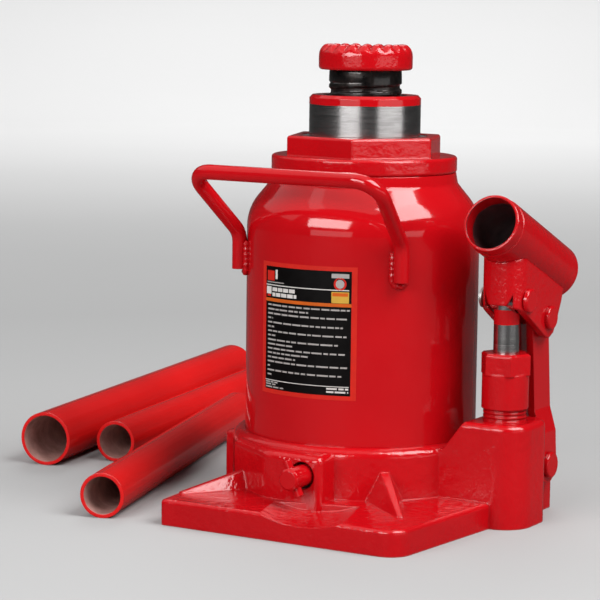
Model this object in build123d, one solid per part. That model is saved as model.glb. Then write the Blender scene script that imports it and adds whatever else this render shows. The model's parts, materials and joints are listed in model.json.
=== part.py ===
from build123d import *
import math
import os

# Low-profile hydraulic bottle jack with a three-piece handle, in millimetres.
# The origin is on the ram's axis at floor level and +Z is up. The release valve,
# label and carry handle are at the front, -Y, and the pump is on the +X side.

# Foot plate, collar and bosses of the base casting
PLATE_TOP = 10.4
PLATE_FRONT = -88.2
PLATE_LEFT = -42.0
PLATE_RIGHT = 66.2
PLATE_BACK = 54.0
LEFT_FLARE = 5.8
RIGHT_FLARE = 4.8
COLLAR_RADIUS = 53.6
COLLAR_TOP = 31.2
RESERVOIR_FLOOR = 28.5
PUMP_BOSS_TOP = 42.0
PUMP_BOSS_FRONT = -22.0
PUMP_BOSS_BACK = 8.5
PUMP_BOSS_RIGHT = 84.2
VALVE_BOSS_FRONT = -62.0
VALVE_BOSS_TOP = 29.5
VALVE_BOSS_LEFT = -9.0
VALVE_BOSS_RIGHT = 16.8
VALVE_FLANK_LEFT = -34.0
VALVE_FLANK_FRONT = -45.0
OVERLOAD_BOSS_LEFT = -54.3
OVERLOAD_BOSS_FRONT = -21.5
OVERLOAD_BOSS_TOP = 27.5

# Tank and top nut
TANK_RADIUS = 48.4
TANK_WALL = 3.0
TANK_SEAL = 1.5
TANK_TOP = 138.9
SHOULDER_RADIUS = 39.0
SHOULDER_FOOT = 122.9
SHOULDER_TOP = 134.4
FILLER_Z = 108.0
FILLER_RADIUS = 4.0
LABEL_FOOT = 50.0
LABEL_TOP = 103.8
LABEL_THICKNESS = 0.3
FLANGE_RADIUS = 38.5
FLANGE_TOP = 145.7
NUT_TOP = 153.8
NUT_VERTEX_RADIUS = 34.3
NUT_TURN = -9.0

# Ram, cylinder and extension screw, drawn with the ram 13 up and the screw 10.1 out
RAM_RADIUS = 23.1
RAM_TOP = 170.4
RAM_FOOT = 37.0
TAIL_RADIUS = 12.0
CUP_FOOT = 42.0
CUP_TOP = 47.0
PISTON_FOOT = 50.0
BORE_RADIUS = 25.0
CYLINDER_OUTER = 30.0
CYLINDER_SEAT = 21.0
GASKET = 1.5
CYLINDER_TOP = 128.0
SEAL_RADIUS = 28.0
SEAL_FOOT = 134.0
SEAL_TOP = 139.0
WIPER_RADIUS = 26.0
WIPER_FOOT = 150.6
SCREW_RADIUS = 15.1
SCREW_FOOT = 113.0
SADDLE_FOOT = 180.7
SADDLE_TOP = 191.4
SADDLE_RADIUS = 19.4
SADDLE_BUMPS = 20
BUMP_RADIUS = 2.9
BUMP_PITCH_RADIUS = 16.1
BUMP_HEIGHT = 1.5
BUMP_FLAT = 0.12
SPIGOT_RADIUS = 8.0
SPIGOT_HEIGHT = 7.0
STOP_FOOT = 116.0
STOP_HEIGHT = 2.2
STOP_ROOT = 12.4

# Pump and its linkage, which moves in planes of constant X
PUMP_X = 70.0
PUMP_Y = -6.0
PLUNGER_RADIUS = 5.2
PUMP_THREAD_RADIUS = 8.75
PUMP_BORE_RADIUS = 8.8
GLAND_RADIUS = 7.4
GLAND_FOOT = 63.0
GLAND_TOP = 66.5
CHAMBER_FLOOR = 25.0
PUMP_HEX_FOOT = 60.6
PUMP_HEX_TOP = 69.4
EYE_Z = 91.0
LINK_FOOT_Y = 20.5
LINK_FOOT_Z = 20.0
LINK_HEAD_Y = 14.5
LINK_HEAD_Z = 82.0
LINK_END_RADIUS = 7.5
LINK_THICKNESS = 3.0
LUG_HALF = 4.5
YOKE_HALF = 9.3
YOKE_WALL = 3.2
YOKE_FRONT = -15.5
WEB_THICKNESS = 2.2
YOKE_BEND = 8.4
YOKE_INNER_BEND = 3.5
SOCKET_MOUTH_Y = -22.5
SOCKET_MOUTH_Z = 122.8
SOCKET_TILT = 23.0
SOCKET_LENGTH = 62.5
SOCKET_RADIUS = 12.2
SOCKET_BORE = 10.6
SOCKET_LIP_RADIUS = 11.8
SOCKET_LIP = 5.0
BASE_PIN_RADIUS = 4.0
LINK_PIN_RADIUS = 3.5
YOKE_HEAD_RADIUS = 4.8
EYE_PIN_RADIUS = 2.6

# Release valve, carry handle and handle tubes
VALVE_X = 8.4
VALVE_Z = 21.3
SPINDLE_RADIUS = 4.4
SPINDLE_FRONT = -73.0
RELEASE_SEAT = -33.0
PACKING_RADIUS = 5.5
PACKING_FRONT = -57.0
PACKING_BACK = -54.0
CROSS_PIN_RADIUS = 1.75
RAIL_RADIUS = 3.1
HANDLE_TURN = -3.5
BAR_X = 45.0
BAR_Y = -61.0
BAR_Z = 139.8
FOOT_X = 39.5
FOOT_Y = -33.12
FOOT_LOW = 98.0
FOOT_HIGH = 113.0
LARGE_TUBE_RADIUS = 12.0
LARGE_TUBE_LENGTH = 230.0
SMALL_TUBE_RADIUS = 9.3
SMALL_TUBE_LENGTH = 208.0
TUBE_WALL = 1.5
# Near end of each tube (X, Y) and its turn from +Y
LARGE_TUBE_PLACE = (-153.2, -15.4, 11.0)
SMALL_TUBE_1_PLACE = (-131.8, 8.6, 11.0)
SMALL_TUBE_2_PLACE = (-68.0, -91.3, 17.2)

# Drilled passages and check valves in the base
PASSAGE = 1.6
INLET_RADIUS = 1.8
INLET_Z = 9.5
INLET_SEAT = 15.0
INLET_X = 36.0
INLET_Y = 8.0
LOW_PASSAGE_Z = 8.0
RELIEF_X = -37.0
RELIEF_Z = 12.0
BALL_RADIUS = 2.8
SMALL_BORE = 3.5
DELIVERY_X = 53.0
OVERLOAD_X = -18.0
CHECK_SEAT = 17.0
FIT = 0.05
CLEAR = 0.3
# How far a cutting tool runs past the face that it cuts
OVER = 1.0


def upright(radius, low, high, x=0.0, y=0.0):
    """Solid cylinder along Z between two heights."""
    return Pos(x, y, (low + high) / 2) * Cylinder(radius, high - low)


def ring(outer, inner, low, high, x=0.0, y=0.0):
    """Upright ring."""
    return upright(outer, low, high, x, y) - upright(inner, low - OVER, high + OVER, x, y)


def along_y(radius, front, back, x, z):
    """Solid cylinder along Y."""
    return Pos(x, (front + back) / 2, z) * Rot(90, 0, 0) * Cylinder(radius, back - front)


def along_x(radius, left, right, y, z):
    """Solid cylinder along X."""
    return Pos((left + right) / 2, y, z) * Rot(0, 90, 0) * Cylinder(radius, right - left)


def block(left, right, front, back, low, high):
    """Box from its six faces."""
    centre = Pos((left + right) / 2, (front + back) / 2, (low + high) / 2)
    return centre * Box(right - left, back - front, high - low)


def hexagon(vertex_radius, low, high, turn=0.0, x=0.0, y=0.0):
    """Upright hexagonal prism with a vertex at the given angle from +X."""
    points = []
    for corner in range(6):
        angle = math.radians(turn + 60 * corner)
        points.append((x + vertex_radius * math.cos(angle), y + vertex_radius * math.sin(angle)))
    return Pos(0, 0, low) * extrude(Polygon(*points, align=None), high - low)


def prism_x(outline, left, right):
    """Outline in (Y, Z) carried along X."""
    return Pos(left, 0, 0) * extrude(Plane.YZ * outline, right - left, dir=(1, 0, 0))


def prism_y(outline, front, back):
    """Outline in (X, Z) carried along Y."""
    return Pos(0, front, 0) * extrude(Plane.XZ * outline, back - front, dir=(0, 1, 0))


def level_edges(shape, height):
    """Edges that lie wholly at one height."""
    tolerance = 0.01
    return shape.edges().filter_by_position(Axis.Z, height - tolerance, height + tolerance)


def round_corners(outline, *corners):
    """Rounds an outline at each (first, second, radius) corner."""
    for first, second, radius in corners:
        corner = outline.vertices().sort_by_distance((first, second, 0))[0]
        outline = fillet(corner, radius)
    return outline


def check_height(seat_hole):
    """Height of a ball's centre over the rim of the hole it seats on."""
    return math.sqrt(BALL_RADIUS ** 2 - seat_hole ** 2) + 0.01


def foot_plate():
    """Flat foot whose sides flare towards the back, with a shallow scoop before the valve."""
    waist = -10.0
    left_waist = PLATE_LEFT - (waist - PLATE_FRONT) * math.tan(math.radians(LEFT_FLARE))
    right_waist = PLATE_RIGHT + (waist - PLATE_FRONT) * math.tan(math.radians(RIGHT_FLARE))
    side_end = 10.0
    right_shoulder = (58.0, 36.0)
    right_back = (42.0, PLATE_BACK)
    left_back = (-46.0, PLATE_BACK)
    outline = Polygon(
        (PLATE_LEFT, PLATE_FRONT),
        (PLATE_RIGHT, PLATE_FRONT),
        (right_waist, waist),
        right_shoulder,
        right_back,
        left_back,
        (left_waist, side_end),
        (left_waist, waist),
        align=None,
    )
    outline = round_corners(
        outline,
        (PLATE_RIGHT, PLATE_FRONT, 9.0),
        (PLATE_LEFT, PLATE_FRONT, 2.5),
        (*right_shoulder, 12.0),
        (*right_back, 12.0),
        (*left_back, 14.0),
    )
    edge_round = 1.6
    plate = extrude(outline, PLATE_TOP)
    plate = fillet(level_edges(plate, PLATE_TOP), edge_round)
    return plate - front_scoop() - left_pocket()


def front_scoop():
    """Shallow round scoop across the plate before the release valve."""
    radius = 50.0
    depth = 3.2
    x = 20.5
    y = -80.0
    turn = 16.0
    length = 40.0
    place = Pos(x, y, PLATE_TOP - depth + radius)
    return place * Rot(0, 0, turn) * Rot(90, 0, 0) * Cylinder(radius, length)


def left_pocket():
    """Shallow pocket at the plate's front left corner."""
    depth = 3.2
    corner_round = 4.0
    pocket = Polygon((-36.0, -80.0), (-40.0, -52.0), (-14.0, -66.0), (-14.0, -80.0), align=None)
    pocket = fillet(pocket.vertices(), corner_round)
    return Pos(0, 0, PLATE_TOP - depth) * extrude(pocket, 2 * depth)


def collar():
    """Round collar that holds the tank."""
    edge_round = 4.0
    body = upright(COLLAR_RADIUS, 0, COLLAR_TOP)
    return fillet(level_edges(body, COLLAR_TOP), edge_round)


def pump_boss():
    """Boss round the pump, joined to the collar, lower beside the tank."""
    root = 40.0
    outline = Polygon(
        (root, PUMP_BOSS_FRONT),
        (PUMP_BOSS_RIGHT, PUMP_BOSS_FRONT),
        (PUMP_BOSS_RIGHT, PUMP_BOSS_BACK),
        (root, PUMP_BOSS_BACK),
        align=None,
    )
    outline = round_corners(
        outline,
        (PUMP_BOSS_RIGHT, PUMP_BOSS_FRONT, 12.0),
        (PUMP_BOSS_RIGHT, PUMP_BOSS_BACK, 8.0),
    )
    edge_round = 2.5
    boss = extrude(outline, PUMP_BOSS_TOP)
    boss = fillet(level_edges(boss, PUMP_BOSS_TOP), edge_round)
    slope_low = COLLAR_TOP - 1.0
    slope_high = PUMP_BOSS_TOP + 1.5
    slope = Polygon(
        (root - 1, slope_low),
        (TANK_RADIUS + 2.1, slope_low),
        (TANK_RADIUS + 12.1, slope_high),
        (root - 1, slope_high),
        align=None,
    )
    return boss - prism_y(slope, PUMP_BOSS_FRONT - OVER, PUMP_BOSS_BACK + OVER)


def link_lug():
    """Single lug behind the pump boss that carries the link pin."""
    back = LINK_FOOT_Y + 9.5
    top = LINK_FOOT_Z + 9.0
    corner = 4.5
    front = PUMP_BOSS_BACK - 0.5
    side = Polygon(
        (front, 0),
        (back, 0),
        (back, top - corner),
        (back - corner, top),
        (front, top),
        align=None,
    )
    lug = prism_x(side, PUMP_X - LUG_HALF, PUMP_X + LUG_HALF)
    root_left = 50.0
    root_top = 10.0
    return lug + block(root_left, PUMP_X + LUG_HALF, front, back, 0.0, root_top)


def valve_boss():
    """Boss that carries the release valve, its left flank sloping back to the collar."""
    back = -36.0
    edge_round = 3.0
    outline = Polygon(
        (VALVE_BOSS_LEFT, VALVE_BOSS_FRONT),
        (VALVE_BOSS_RIGHT, VALVE_BOSS_FRONT),
        (VALVE_BOSS_RIGHT, back),
        (VALVE_FLANK_LEFT, back),
        (VALVE_FLANK_LEFT, VALVE_FLANK_FRONT),
        align=None,
    )
    outline = round_corners(
        outline,
        (VALVE_BOSS_RIGHT, VALVE_BOSS_FRONT, 3.0),
        (VALVE_BOSS_LEFT, VALVE_BOSS_FRONT, 9.0),
    )
    boss = extrude(outline, VALVE_BOSS_TOP)
    return fillet(level_edges(boss, VALVE_BOSS_TOP), edge_round)


def overload_boss():
    """Squared boss on the collar's left side, over the overload valve's passage."""
    right = -30.0
    back = 12.0
    upright_round = 3.0
    edge_round = 2.0
    boss = block(OVERLOAD_BOSS_LEFT, right, OVERLOAD_BOSS_FRONT, back, 0.0, OVERLOAD_BOSS_TOP)
    left_edges = boss.edges().filter_by(Axis.Z).sort_by(Axis.X)[:2]
    boss = fillet(left_edges, upright_round)
    return fillet(level_edges(boss, OVERLOAD_BOSS_TOP), edge_round)


def rib(direction, sections):
    """Tapering rib away from the collar; each section is reach, half foot, half ridge and ridge height."""
    angle = math.radians(direction)
    outward = Vector(math.cos(angle), math.sin(angle), 0)
    across = Vector(-math.sin(angle), math.cos(angle), 0)
    root = PLATE_TOP - 2.0
    outlines = []
    for reach, foot_half, ridge_half, ridge_z in sections:
        plane = Plane(origin=outward * reach, x_dir=across, z_dir=outward)
        outline = Polygon(
            (-foot_half, root),
            (foot_half, root),
            (ridge_half, ridge_z),
            (-ridge_half, ridge_z),
            align=None,
        )
        outlines.append(plane * outline)
    return loft(outlines)


def corner_ribs():
    """Ribs from the collar towards the two front corners: short and steep right, long and low left."""
    start = TANK_RADIUS - 0.4
    right = rib(-50.0, ((start, 9.5, 1.8, 24.0), (85.0, 3.0, 1.0, PLATE_TOP + 0.6)))
    left = rib(-119.0, ((start, 7.0, 1.6, 19.5), (85.0, 2.2, 1.0, PLATE_TOP + 0.6)))
    return right + left


def drilling(start, end, radius=PASSAGE):
    """Straight drilled passage between two points."""
    path = Line(start, end)
    return sweep(Plane(origin=start, z_dir=Vector(*end) - Vector(*start)) * Circle(radius), path)


def base_casting():
    """Foot plate, collar and bosses in one casting, with its bores."""
    body = foot_plate() + collar() + pump_boss() + link_lug() + valve_boss()
    body += overload_boss() + corner_ribs()
    body -= upright(TANK_RADIUS + FIT, RESERVOIR_FLOOR, PUMP_BOSS_TOP + OVER)
    seal_foot = RESERVOIR_FLOOR - TANK_SEAL
    body -= ring(TANK_RADIUS + FIT, TANK_RADIUS - TANK_WALL, seal_foot, RESERVOIR_FLOOR + OVER)
    body -= upright(CYLINDER_OUTER + FIT, CYLINDER_SEAT, RESERVOIR_FLOOR + OVER)
    body -= upright(PUMP_BORE_RADIUS, CHAMBER_FLOOR - 1.0, PUMP_BOSS_TOP + OVER, PUMP_X, PUMP_Y)
    body -= along_x(BASE_PIN_RADIUS, PUMP_X - 10, PUMP_X + 10, LINK_FOOT_Y, LINK_FOOT_Z)
    for bore in (suction_bores(), delivery_bores(), overload_bores(), release_bores()):
        body -= bore
    return body


def suction_bores():
    """From the reservoir to the ball under the pump chamber."""
    cavity = upright(BALL_RADIUS + 0.5, INLET_SEAT, CHAMBER_FLOOR, PUMP_X, PUMP_Y)
    riser = upright(INLET_RADIUS, INLET_Z, INLET_SEAT + OVER, PUMP_X, PUMP_Y)
    cross = drilling((PUMP_X, PUMP_Y, INLET_Z), (INLET_X, INLET_Y, INLET_Z))
    up = upright(PASSAGE, INLET_Z, RESERVOIR_FLOOR + OVER, INLET_X, INLET_Y)
    return cavity + riser + cross + up


def delivery_bores():
    """From the pump chamber past a sprung ball to the cylinder's floor."""
    cross_z = 20.0
    cross = drilling((PUMP_X, PUMP_Y, cross_z), (DELIVERY_X, PUMP_Y, cross_z))
    seat = upright(PASSAGE, CHECK_SEAT - OVER, cross_z, DELIVERY_X, PUMP_Y)
    cavity = upright(SMALL_BORE, -OVER, CHECK_SEAT, DELIVERY_X, PUMP_Y)
    outlet = drilling((DELIVERY_X, PUMP_Y, LOW_PASSAGE_Z), (VALVE_X, PUMP_Y, LOW_PASSAGE_Z))
    up = upright(PASSAGE, LOW_PASSAGE_Z, CYLINDER_SEAT + OVER, VALVE_X, PUMP_Y)
    return cross + seat + cavity + outlet + up


def overload_bores():
    """From the cylinder's floor past a sprung ball back to the reservoir."""
    seat = upright(PASSAGE, CHECK_SEAT - OVER, CYLINDER_SEAT + OVER, OVERLOAD_X, PUMP_Y)
    cavity = upright(SMALL_BORE, -OVER, CHECK_SEAT, OVERLOAD_X, PUMP_Y)
    outlet = drilling((OVERLOAD_X, PUMP_Y, RELIEF_Z), (RELIEF_X, PUMP_Y, RELIEF_Z))
    up = upright(PASSAGE, RELIEF_Z, RESERVOIR_FLOOR + OVER, RELIEF_X, PUMP_Y)
    return seat + cavity + outlet + up


def release_bores():
    """Bore of the release spindle, its seat and its two passages."""
    spindle_end = -39.5
    return_y = -38.0
    feed_y = -31.5
    packing_bore = along_y(PACKING_RADIUS, VALVE_BOSS_FRONT - OVER, PACKING_BACK, VALVE_X, VALVE_Z)
    spindle_bore = along_y(SPINDLE_RADIUS + FIT, PACKING_BACK - OVER, spindle_end, VALVE_X, VALVE_Z)
    cavity = along_y(BALL_RADIUS + 0.4, spindle_end - 0.5, RELEASE_SEAT, VALVE_X, VALVE_Z)
    seat = along_y(PASSAGE, RELEASE_SEAT - OVER, feed_y, VALVE_X, VALVE_Z)
    down = upright(PASSAGE, LOW_PASSAGE_Z, VALVE_Z, VALVE_X, feed_y)
    cross = along_y(PASSAGE, feed_y, PUMP_Y, VALVE_X, LOW_PASSAGE_Z)
    back_to_tank = upright(PASSAGE, VALVE_Z, RESERVOIR_FLOOR + OVER, VALVE_X, return_y)
    return packing_bore + spindle_bore + cavity + seat + down + cross + back_to_tank


def check_ball(x):
    """Ball that a spring holds up against its seat."""
    return Pos(x, PUMP_Y, CHECK_SEAT - check_height(PASSAGE)) * Sphere(BALL_RADIUS)


def check_spring(x):
    """Coil spring of four turns between the plug and the ball."""
    low = 5.6
    high = CHECK_SEAT - check_height(PASSAGE) - BALL_RADIUS - 0.35
    turns = 4
    coil_radius = 2.2
    wire = 0.3
    path = Helix(pitch=(high - low) / turns, height=high - low, radius=coil_radius)
    section = Plane(origin=path @ 0, z_dir=path % 0) * Circle(wire)
    return Pos(x, PUMP_Y, low) * sweep(section, path, is_frenet=True)


def check_plug(x):
    """Threaded plug just inside the underside, with a hexagon socket."""
    foot = 0.8
    top = 5.0
    socket_radius = 1.7
    socket_top = 3.2
    body = upright(SMALL_BORE, foot, top, x, PUMP_Y)
    return body - hexagon(socket_radius, 0, socket_top, 0, x, PUMP_Y)


def reservoir_tank():
    """Drawn tank with a rounded, coned shoulder and a filler hole in its back."""
    mouth_radius = 38.2
    shoulder = Polygon(
        (0, RESERVOIR_FLOOR),
        (TANK_RADIUS, RESERVOIR_FLOOR),
        (TANK_RADIUS, SHOULDER_FOOT),
        (SHOULDER_RADIUS, SHOULDER_TOP),
        (mouth_radius, TANK_TOP),
        (0, TANK_TOP),
        align=None,
    )
    shoulder = round_corners(
        shoulder,
        (TANK_RADIUS, SHOULDER_FOOT, 20.0),
        (SHOULDER_RADIUS, SHOULDER_TOP, 3.0),
    )
    outside = revolve(Plane.XZ * shoulder, Axis.Z)
    inner_radius = TANK_RADIUS - TANK_WALL
    hollow = Polygon(
        (0, RESERVOIR_FLOOR - OVER),
        (inner_radius, RESERVOIR_FLOOR - OVER),
        (inner_radius, SHOULDER_FOOT - 2.4),
        (SHOULDER_RADIUS - 2.8, SHOULDER_TOP - 2.4),
        (mouth_radius - 3.1, TANK_TOP + OVER),
        (0, TANK_TOP + OVER),
        align=None,
    )
    inside = revolve(Plane.XZ * hollow, Axis.Z)
    filler = along_y(FILLER_RADIUS, inner_radius - 5, TANK_RADIUS + OVER, 0, FILLER_Z)
    return outside - inside - filler


def filler_plug():
    """Rubber plug in the tank's back."""
    head_radius = 6.5
    head_back = TANK_RADIUS + 2.6
    head_round = 1.0
    stem = along_y(FILLER_RADIUS - FIT, TANK_RADIUS - 4.9, TANK_RADIUS + 0.1, 0, FILLER_Z)
    head = along_y(head_radius, TANK_RADIUS + 0.05, head_back, 0, FILLER_Z)
    rear = head.edges().sort_by(Axis.Y)[-1]
    return stem + fillet(rear, head_round)


def top_nut():
    """Flanged hexagon nut that closes the tank and guides the ram."""
    spigot_radius = 35.0
    spigot_foot = 118.0
    spigot = upright(spigot_radius, spigot_foot, TANK_TOP)
    flange = upright(FLANGE_RADIUS, TANK_TOP, FLANGE_TOP)
    flange = fillet(flange.edges().filter_by(GeomType.CIRCLE), 1.3)
    hexagon_part = hexagon(NUT_VERTEX_RADIUS, FLANGE_TOP - 0.5, NUT_TOP, NUT_TURN)
    hexagon_part = fillet(level_edges(hexagon_part, NUT_TOP), 1.2)
    hexagon_part = fillet(hexagon_part.edges().filter_by(Axis.Z), 1.0)
    body = spigot + flange + hexagon_part
    body -= upright(RAM_RADIUS + FIT, spigot_foot - OVER, NUT_TOP + OVER)
    body -= upright(CYLINDER_OUTER + FIT, spigot_foot - OVER, CYLINDER_TOP)
    body -= ring(SEAL_RADIUS, RAM_RADIUS, SEAL_FOOT, SEAL_TOP)
    return body - upright(WIPER_RADIUS, WIPER_FOOT, NUT_TOP + OVER)


def cylinder_tube():
    """Honed cylinder that the piston runs in."""
    return ring(CYLINDER_OUTER, BORE_RADIUS, CYLINDER_SEAT + GASKET, CYLINDER_TOP)


def ram():
    """Ram with its piston land, a threaded tail and the bore of the extension screw."""
    land_top = 60.0
    bore_floor = 95.0
    mouth_radius = 17.3
    mouth_depth = 4.0
    edge_bevel = 1.2
    rod = upright(RAM_RADIUS, land_top - 2, RAM_TOP)
    rod = chamfer(level_edges(rod, RAM_TOP), edge_bevel)
    land = upright(BORE_RADIUS - FIT, PISTON_FOOT, land_top)
    tail = upright(TAIL_RADIUS, RAM_FOOT, PISTON_FOOT + OVER)
    body = rod + land + tail
    body -= upright(SCREW_RADIUS + FIT, bore_floor, RAM_TOP + OVER)
    return body - upright(mouth_radius, RAM_TOP - mouth_depth, RAM_TOP + OVER)


def piston_nut():
    """Nut on the ram's tail."""
    vertex_radius = 18.0
    return hexagon(vertex_radius, RAM_FOOT, CUP_FOOT) - upright(TAIL_RADIUS, RAM_FOOT - OVER, CUP_FOOT + OVER)


def piston_cup():
    """Cup seal whose lip faces the pressure."""
    lip_inner = 22.5
    hub_outer = 19.0
    web = 2.0
    cup = ring(BORE_RADIUS - FIT, TAIL_RADIUS, CUP_FOOT, CUP_TOP)
    return cup - ring(lip_inner, hub_outer, CUP_FOOT - OVER, CUP_TOP - web)


def extension_screw():
    """Extension screw with a groove for its stop ring and a spigot for the saddle."""
    foot_bevel = 1.0
    body = upright(SCREW_RADIUS, SCREW_FOOT, SADDLE_FOOT)
    body += upright(SPIGOT_RADIUS, SADDLE_FOOT, SADDLE_FOOT + SPIGOT_HEIGHT)
    body = chamfer(level_edges(body, SCREW_FOOT), foot_bevel)
    return body - ring(SCREW_RADIUS + OVER, STOP_ROOT, STOP_FOOT, STOP_FOOT + STOP_HEIGHT)


def saddle_body():
    """Round saddle with a ring of domed bumps round its top, each worn to a small flat."""
    valley = SADDLE_TOP - BUMP_HEIGHT
    top_round = 5.0
    foot_round = 1.4
    body = upright(SADDLE_RADIUS, SADDLE_FOOT, valley)
    body = fillet(level_edges(body, valley), top_round)
    body = fillet(level_edges(body, SADDLE_FOOT), foot_round)
    for index in range(SADDLE_BUMPS):
        bump = Pos(BUMP_PITCH_RADIUS, 0, SADDLE_TOP + BUMP_FLAT - BUMP_RADIUS) * Sphere(BUMP_RADIUS)
        body += Rot(0, 0, 360 / SADDLE_BUMPS * index) * bump
    body -= upright(SADDLE_RADIUS + OVER, SADDLE_TOP, SADDLE_TOP + OVER)
    dish_radius = 11.0
    dish_floor = SADDLE_FOOT + SPIGOT_HEIGHT - 0.6
    body -= upright(dish_radius, dish_floor, SADDLE_TOP + OVER)
    return body - upright(SPIGOT_RADIUS + 0.02, SADDLE_FOOT - OVER, dish_floor + OVER)


def carry_handle():
    """Round bar bent to a bail, its two feet welded to the tank."""
    path = FilletPolyline(
        (-FOOT_X, FOOT_Y, FOOT_LOW),
        (-FOOT_X, FOOT_Y, FOOT_HIGH),
        (-BAR_X, BAR_Y, BAR_Z),
        (BAR_X, BAR_Y, BAR_Z),
        (FOOT_X, FOOT_Y, FOOT_HIGH),
        (FOOT_X, FOOT_Y, FOOT_LOW),
        radius=9.0,
    )
    rail = sweep(Plane(origin=path @ 0, z_dir=path % 0) * Circle(RAIL_RADIUS), path)
    return Rot(0, 0, HANDLE_TURN) * rail


def label_plate():
    """Thin plate that follows the tank's front."""
    half_angle = 26.8
    reach = TANK_RADIUS + 10
    spread = reach * math.tan(math.radians(half_angle))
    wedge = Polygon((0, 0), (-spread, -reach), (spread, -reach), align=None)
    shell = ring(TANK_RADIUS + LABEL_THICKNESS, TANK_RADIUS, LABEL_FOOT, LABEL_TOP)
    return shell & Pos(0, 0, LABEL_FOOT) * extrude(wedge, LABEL_TOP - LABEL_FOOT)


def pump_cylinder():
    """Pump cylinder with a threaded foot, three of its threads in sight, and a hexagon at the top."""
    thread_root = 8.2
    thread_pitch = 1.7
    thread_gap = 0.8
    body_foot = 47.0
    body_radius = 9.5
    hexagon_radius = 10.5
    hexagon_turn = 5.7
    body = upright(PUMP_THREAD_RADIUS, CHAMBER_FLOOR, body_foot + OVER, PUMP_X, PUMP_Y)
    for turn in range(3):
        groove = PUMP_BOSS_TOP + 0.6 + turn * thread_pitch
        body -= ring(PUMP_THREAD_RADIUS + OVER, thread_root, groove, groove + thread_gap, PUMP_X, PUMP_Y)
    body += upright(body_radius, body_foot, PUMP_HEX_FOOT + 0.5, PUMP_X, PUMP_Y)
    top = hexagon(hexagon_radius, PUMP_HEX_FOOT, PUMP_HEX_TOP, hexagon_turn, PUMP_X, PUMP_Y)
    body += chamfer(level_edges(top, PUMP_HEX_TOP), 0.8)
    body -= upright(PLUNGER_RADIUS + FIT, CHAMBER_FLOOR - OVER, PUMP_HEX_TOP + OVER, PUMP_X, PUMP_Y)
    return body - upright(GLAND_RADIUS, GLAND_FOOT, GLAND_TOP, PUMP_X, PUMP_Y)


def pump_plunger():
    """Plunger with a slotted eye for the yoke's front pin."""
    foot = 42.0
    stub_radius = 3.0
    stub_foot = 37.0
    eye_radius = 5.4
    slot_front = PUMP_Y - 3.3
    slot_back = PUMP_Y + 4.6
    slot_half = 3.7
    slot_round = 1.6
    left = PUMP_X - PLUNGER_RADIUS
    right = PUMP_X + PLUNGER_RADIUS
    body = upright(PLUNGER_RADIUS, foot, EYE_Z, PUMP_X, PUMP_Y)
    body += upright(stub_radius, stub_foot, foot + OVER, PUMP_X, PUMP_Y)
    body += along_x(eye_radius, left, right, PUMP_Y, EYE_Z)
    slot = block(left - OVER, right + OVER, slot_front, slot_back, EYE_Z - slot_half, EYE_Z + slot_half)
    return body - fillet(slot.edges().filter_by(Axis.X), slot_round)


def plunger_cup():
    """Cup seal on the plunger's foot."""
    inner = 3.0
    foot = 37.5
    top = 41.9
    return ring(PLUNGER_RADIUS, inner, foot, top, PUMP_X, PUMP_Y)


def link_outline():
    """Side outline of a link plate, through its whole thickness range."""
    foot = Vector(LINK_FOOT_Y, LINK_FOOT_Z)
    head = Vector(LINK_HEAD_Y, LINK_HEAD_Z)
    slot = SlotCenterToCenter((head - foot).length, 2 * LINK_END_RADIUS)
    lean = math.degrees(math.atan2(LINK_HEAD_Z - LINK_FOOT_Z, LINK_HEAD_Y - LINK_FOOT_Y))
    middle = (head + foot) / 2
    return Pos(middle.X, middle.Y) * Rot(0, 0, lean) * slot


def link_plate(side):
    """One of two joggled link plates, on the tank's side (-1) or the outer side (+1)."""
    low_inner = LUG_HALF + CLEAR
    high_inner = 2.4
    bend_low = 33.0
    bend_high = 43.0
    outer_shift = 0.8
    top = LINK_HEAD_Z + 2 * LINK_END_RADIUS
    reach = LINK_FOOT_Y + 2 * LINK_END_RADIUS
    far = low_inner + LINK_THICKNESS + OVER
    profile = Polygon(
        (low_inner, 0),
        (low_inner + LINK_THICKNESS, 0),
        (low_inner + LINK_THICKNESS, bend_low + outer_shift),
        (high_inner + LINK_THICKNESS, bend_high + outer_shift),
        (high_inner + LINK_THICKNESS, top),
        (high_inner, top),
        (high_inner, bend_high),
        (low_inner, bend_low),
        align=None,
    )
    plate = prism_y(profile, -reach, reach) & prism_x(link_outline(), 0, far)
    plate -= along_x(BASE_PIN_RADIUS + FIT, 0, far, LINK_FOOT_Y, LINK_FOOT_Z)
    plate -= along_x(LINK_PIN_RADIUS + FIT, 0, far, LINK_HEAD_Y, LINK_HEAD_Z)
    if side < 0:
        plate = mirror(plate, Plane.YZ)
    return Pos(PUMP_X, 0, 0) * plate


def link_pin():
    """Headed pin through the lug and both link plates."""
    head_radius = 5.4
    reach = LUG_HALF + CLEAR + LINK_THICKNESS
    shaft = along_x(BASE_PIN_RADIUS, PUMP_X - reach - 2.2, PUMP_X + reach + 0.4, LINK_FOOT_Y, LINK_FOOT_Z)
    return shaft + pin_head(head_radius, PUMP_X + reach + 0.2, LINK_FOOT_Y, LINK_FOOT_Z)


def pin_head(radius, left, y, z):
    """Round pin head with a softened rim, facing +X."""
    thickness = 1.8
    rim_round = 0.8
    head = along_x(radius, left, left + thickness, y, z)
    rim = head.edges().sort_by(Axis.X)[-1]
    return fillet(rim, rim_round)


def pin_ring(shaft_radius, left, y, z):
    """Retaining ring on the tank's side of a pin."""
    thickness = 1.0
    width = 1.6
    outside = along_x(shaft_radius + width, left, left + thickness, y, z)
    return outside - along_x(shaft_radius, left - OVER, left + thickness + OVER, y, z)


def yoke_pin(shaft_radius, head_radius, y, z):
    """Headed pin through the yoke."""
    shaft = along_x(shaft_radius, PUMP_X - YOKE_HALF - 2.0, PUMP_X + YOKE_HALF + 0.2, y, z)
    return shaft + pin_head(head_radius, PUMP_X + YOKE_HALF + 0.02, y, z)


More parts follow.
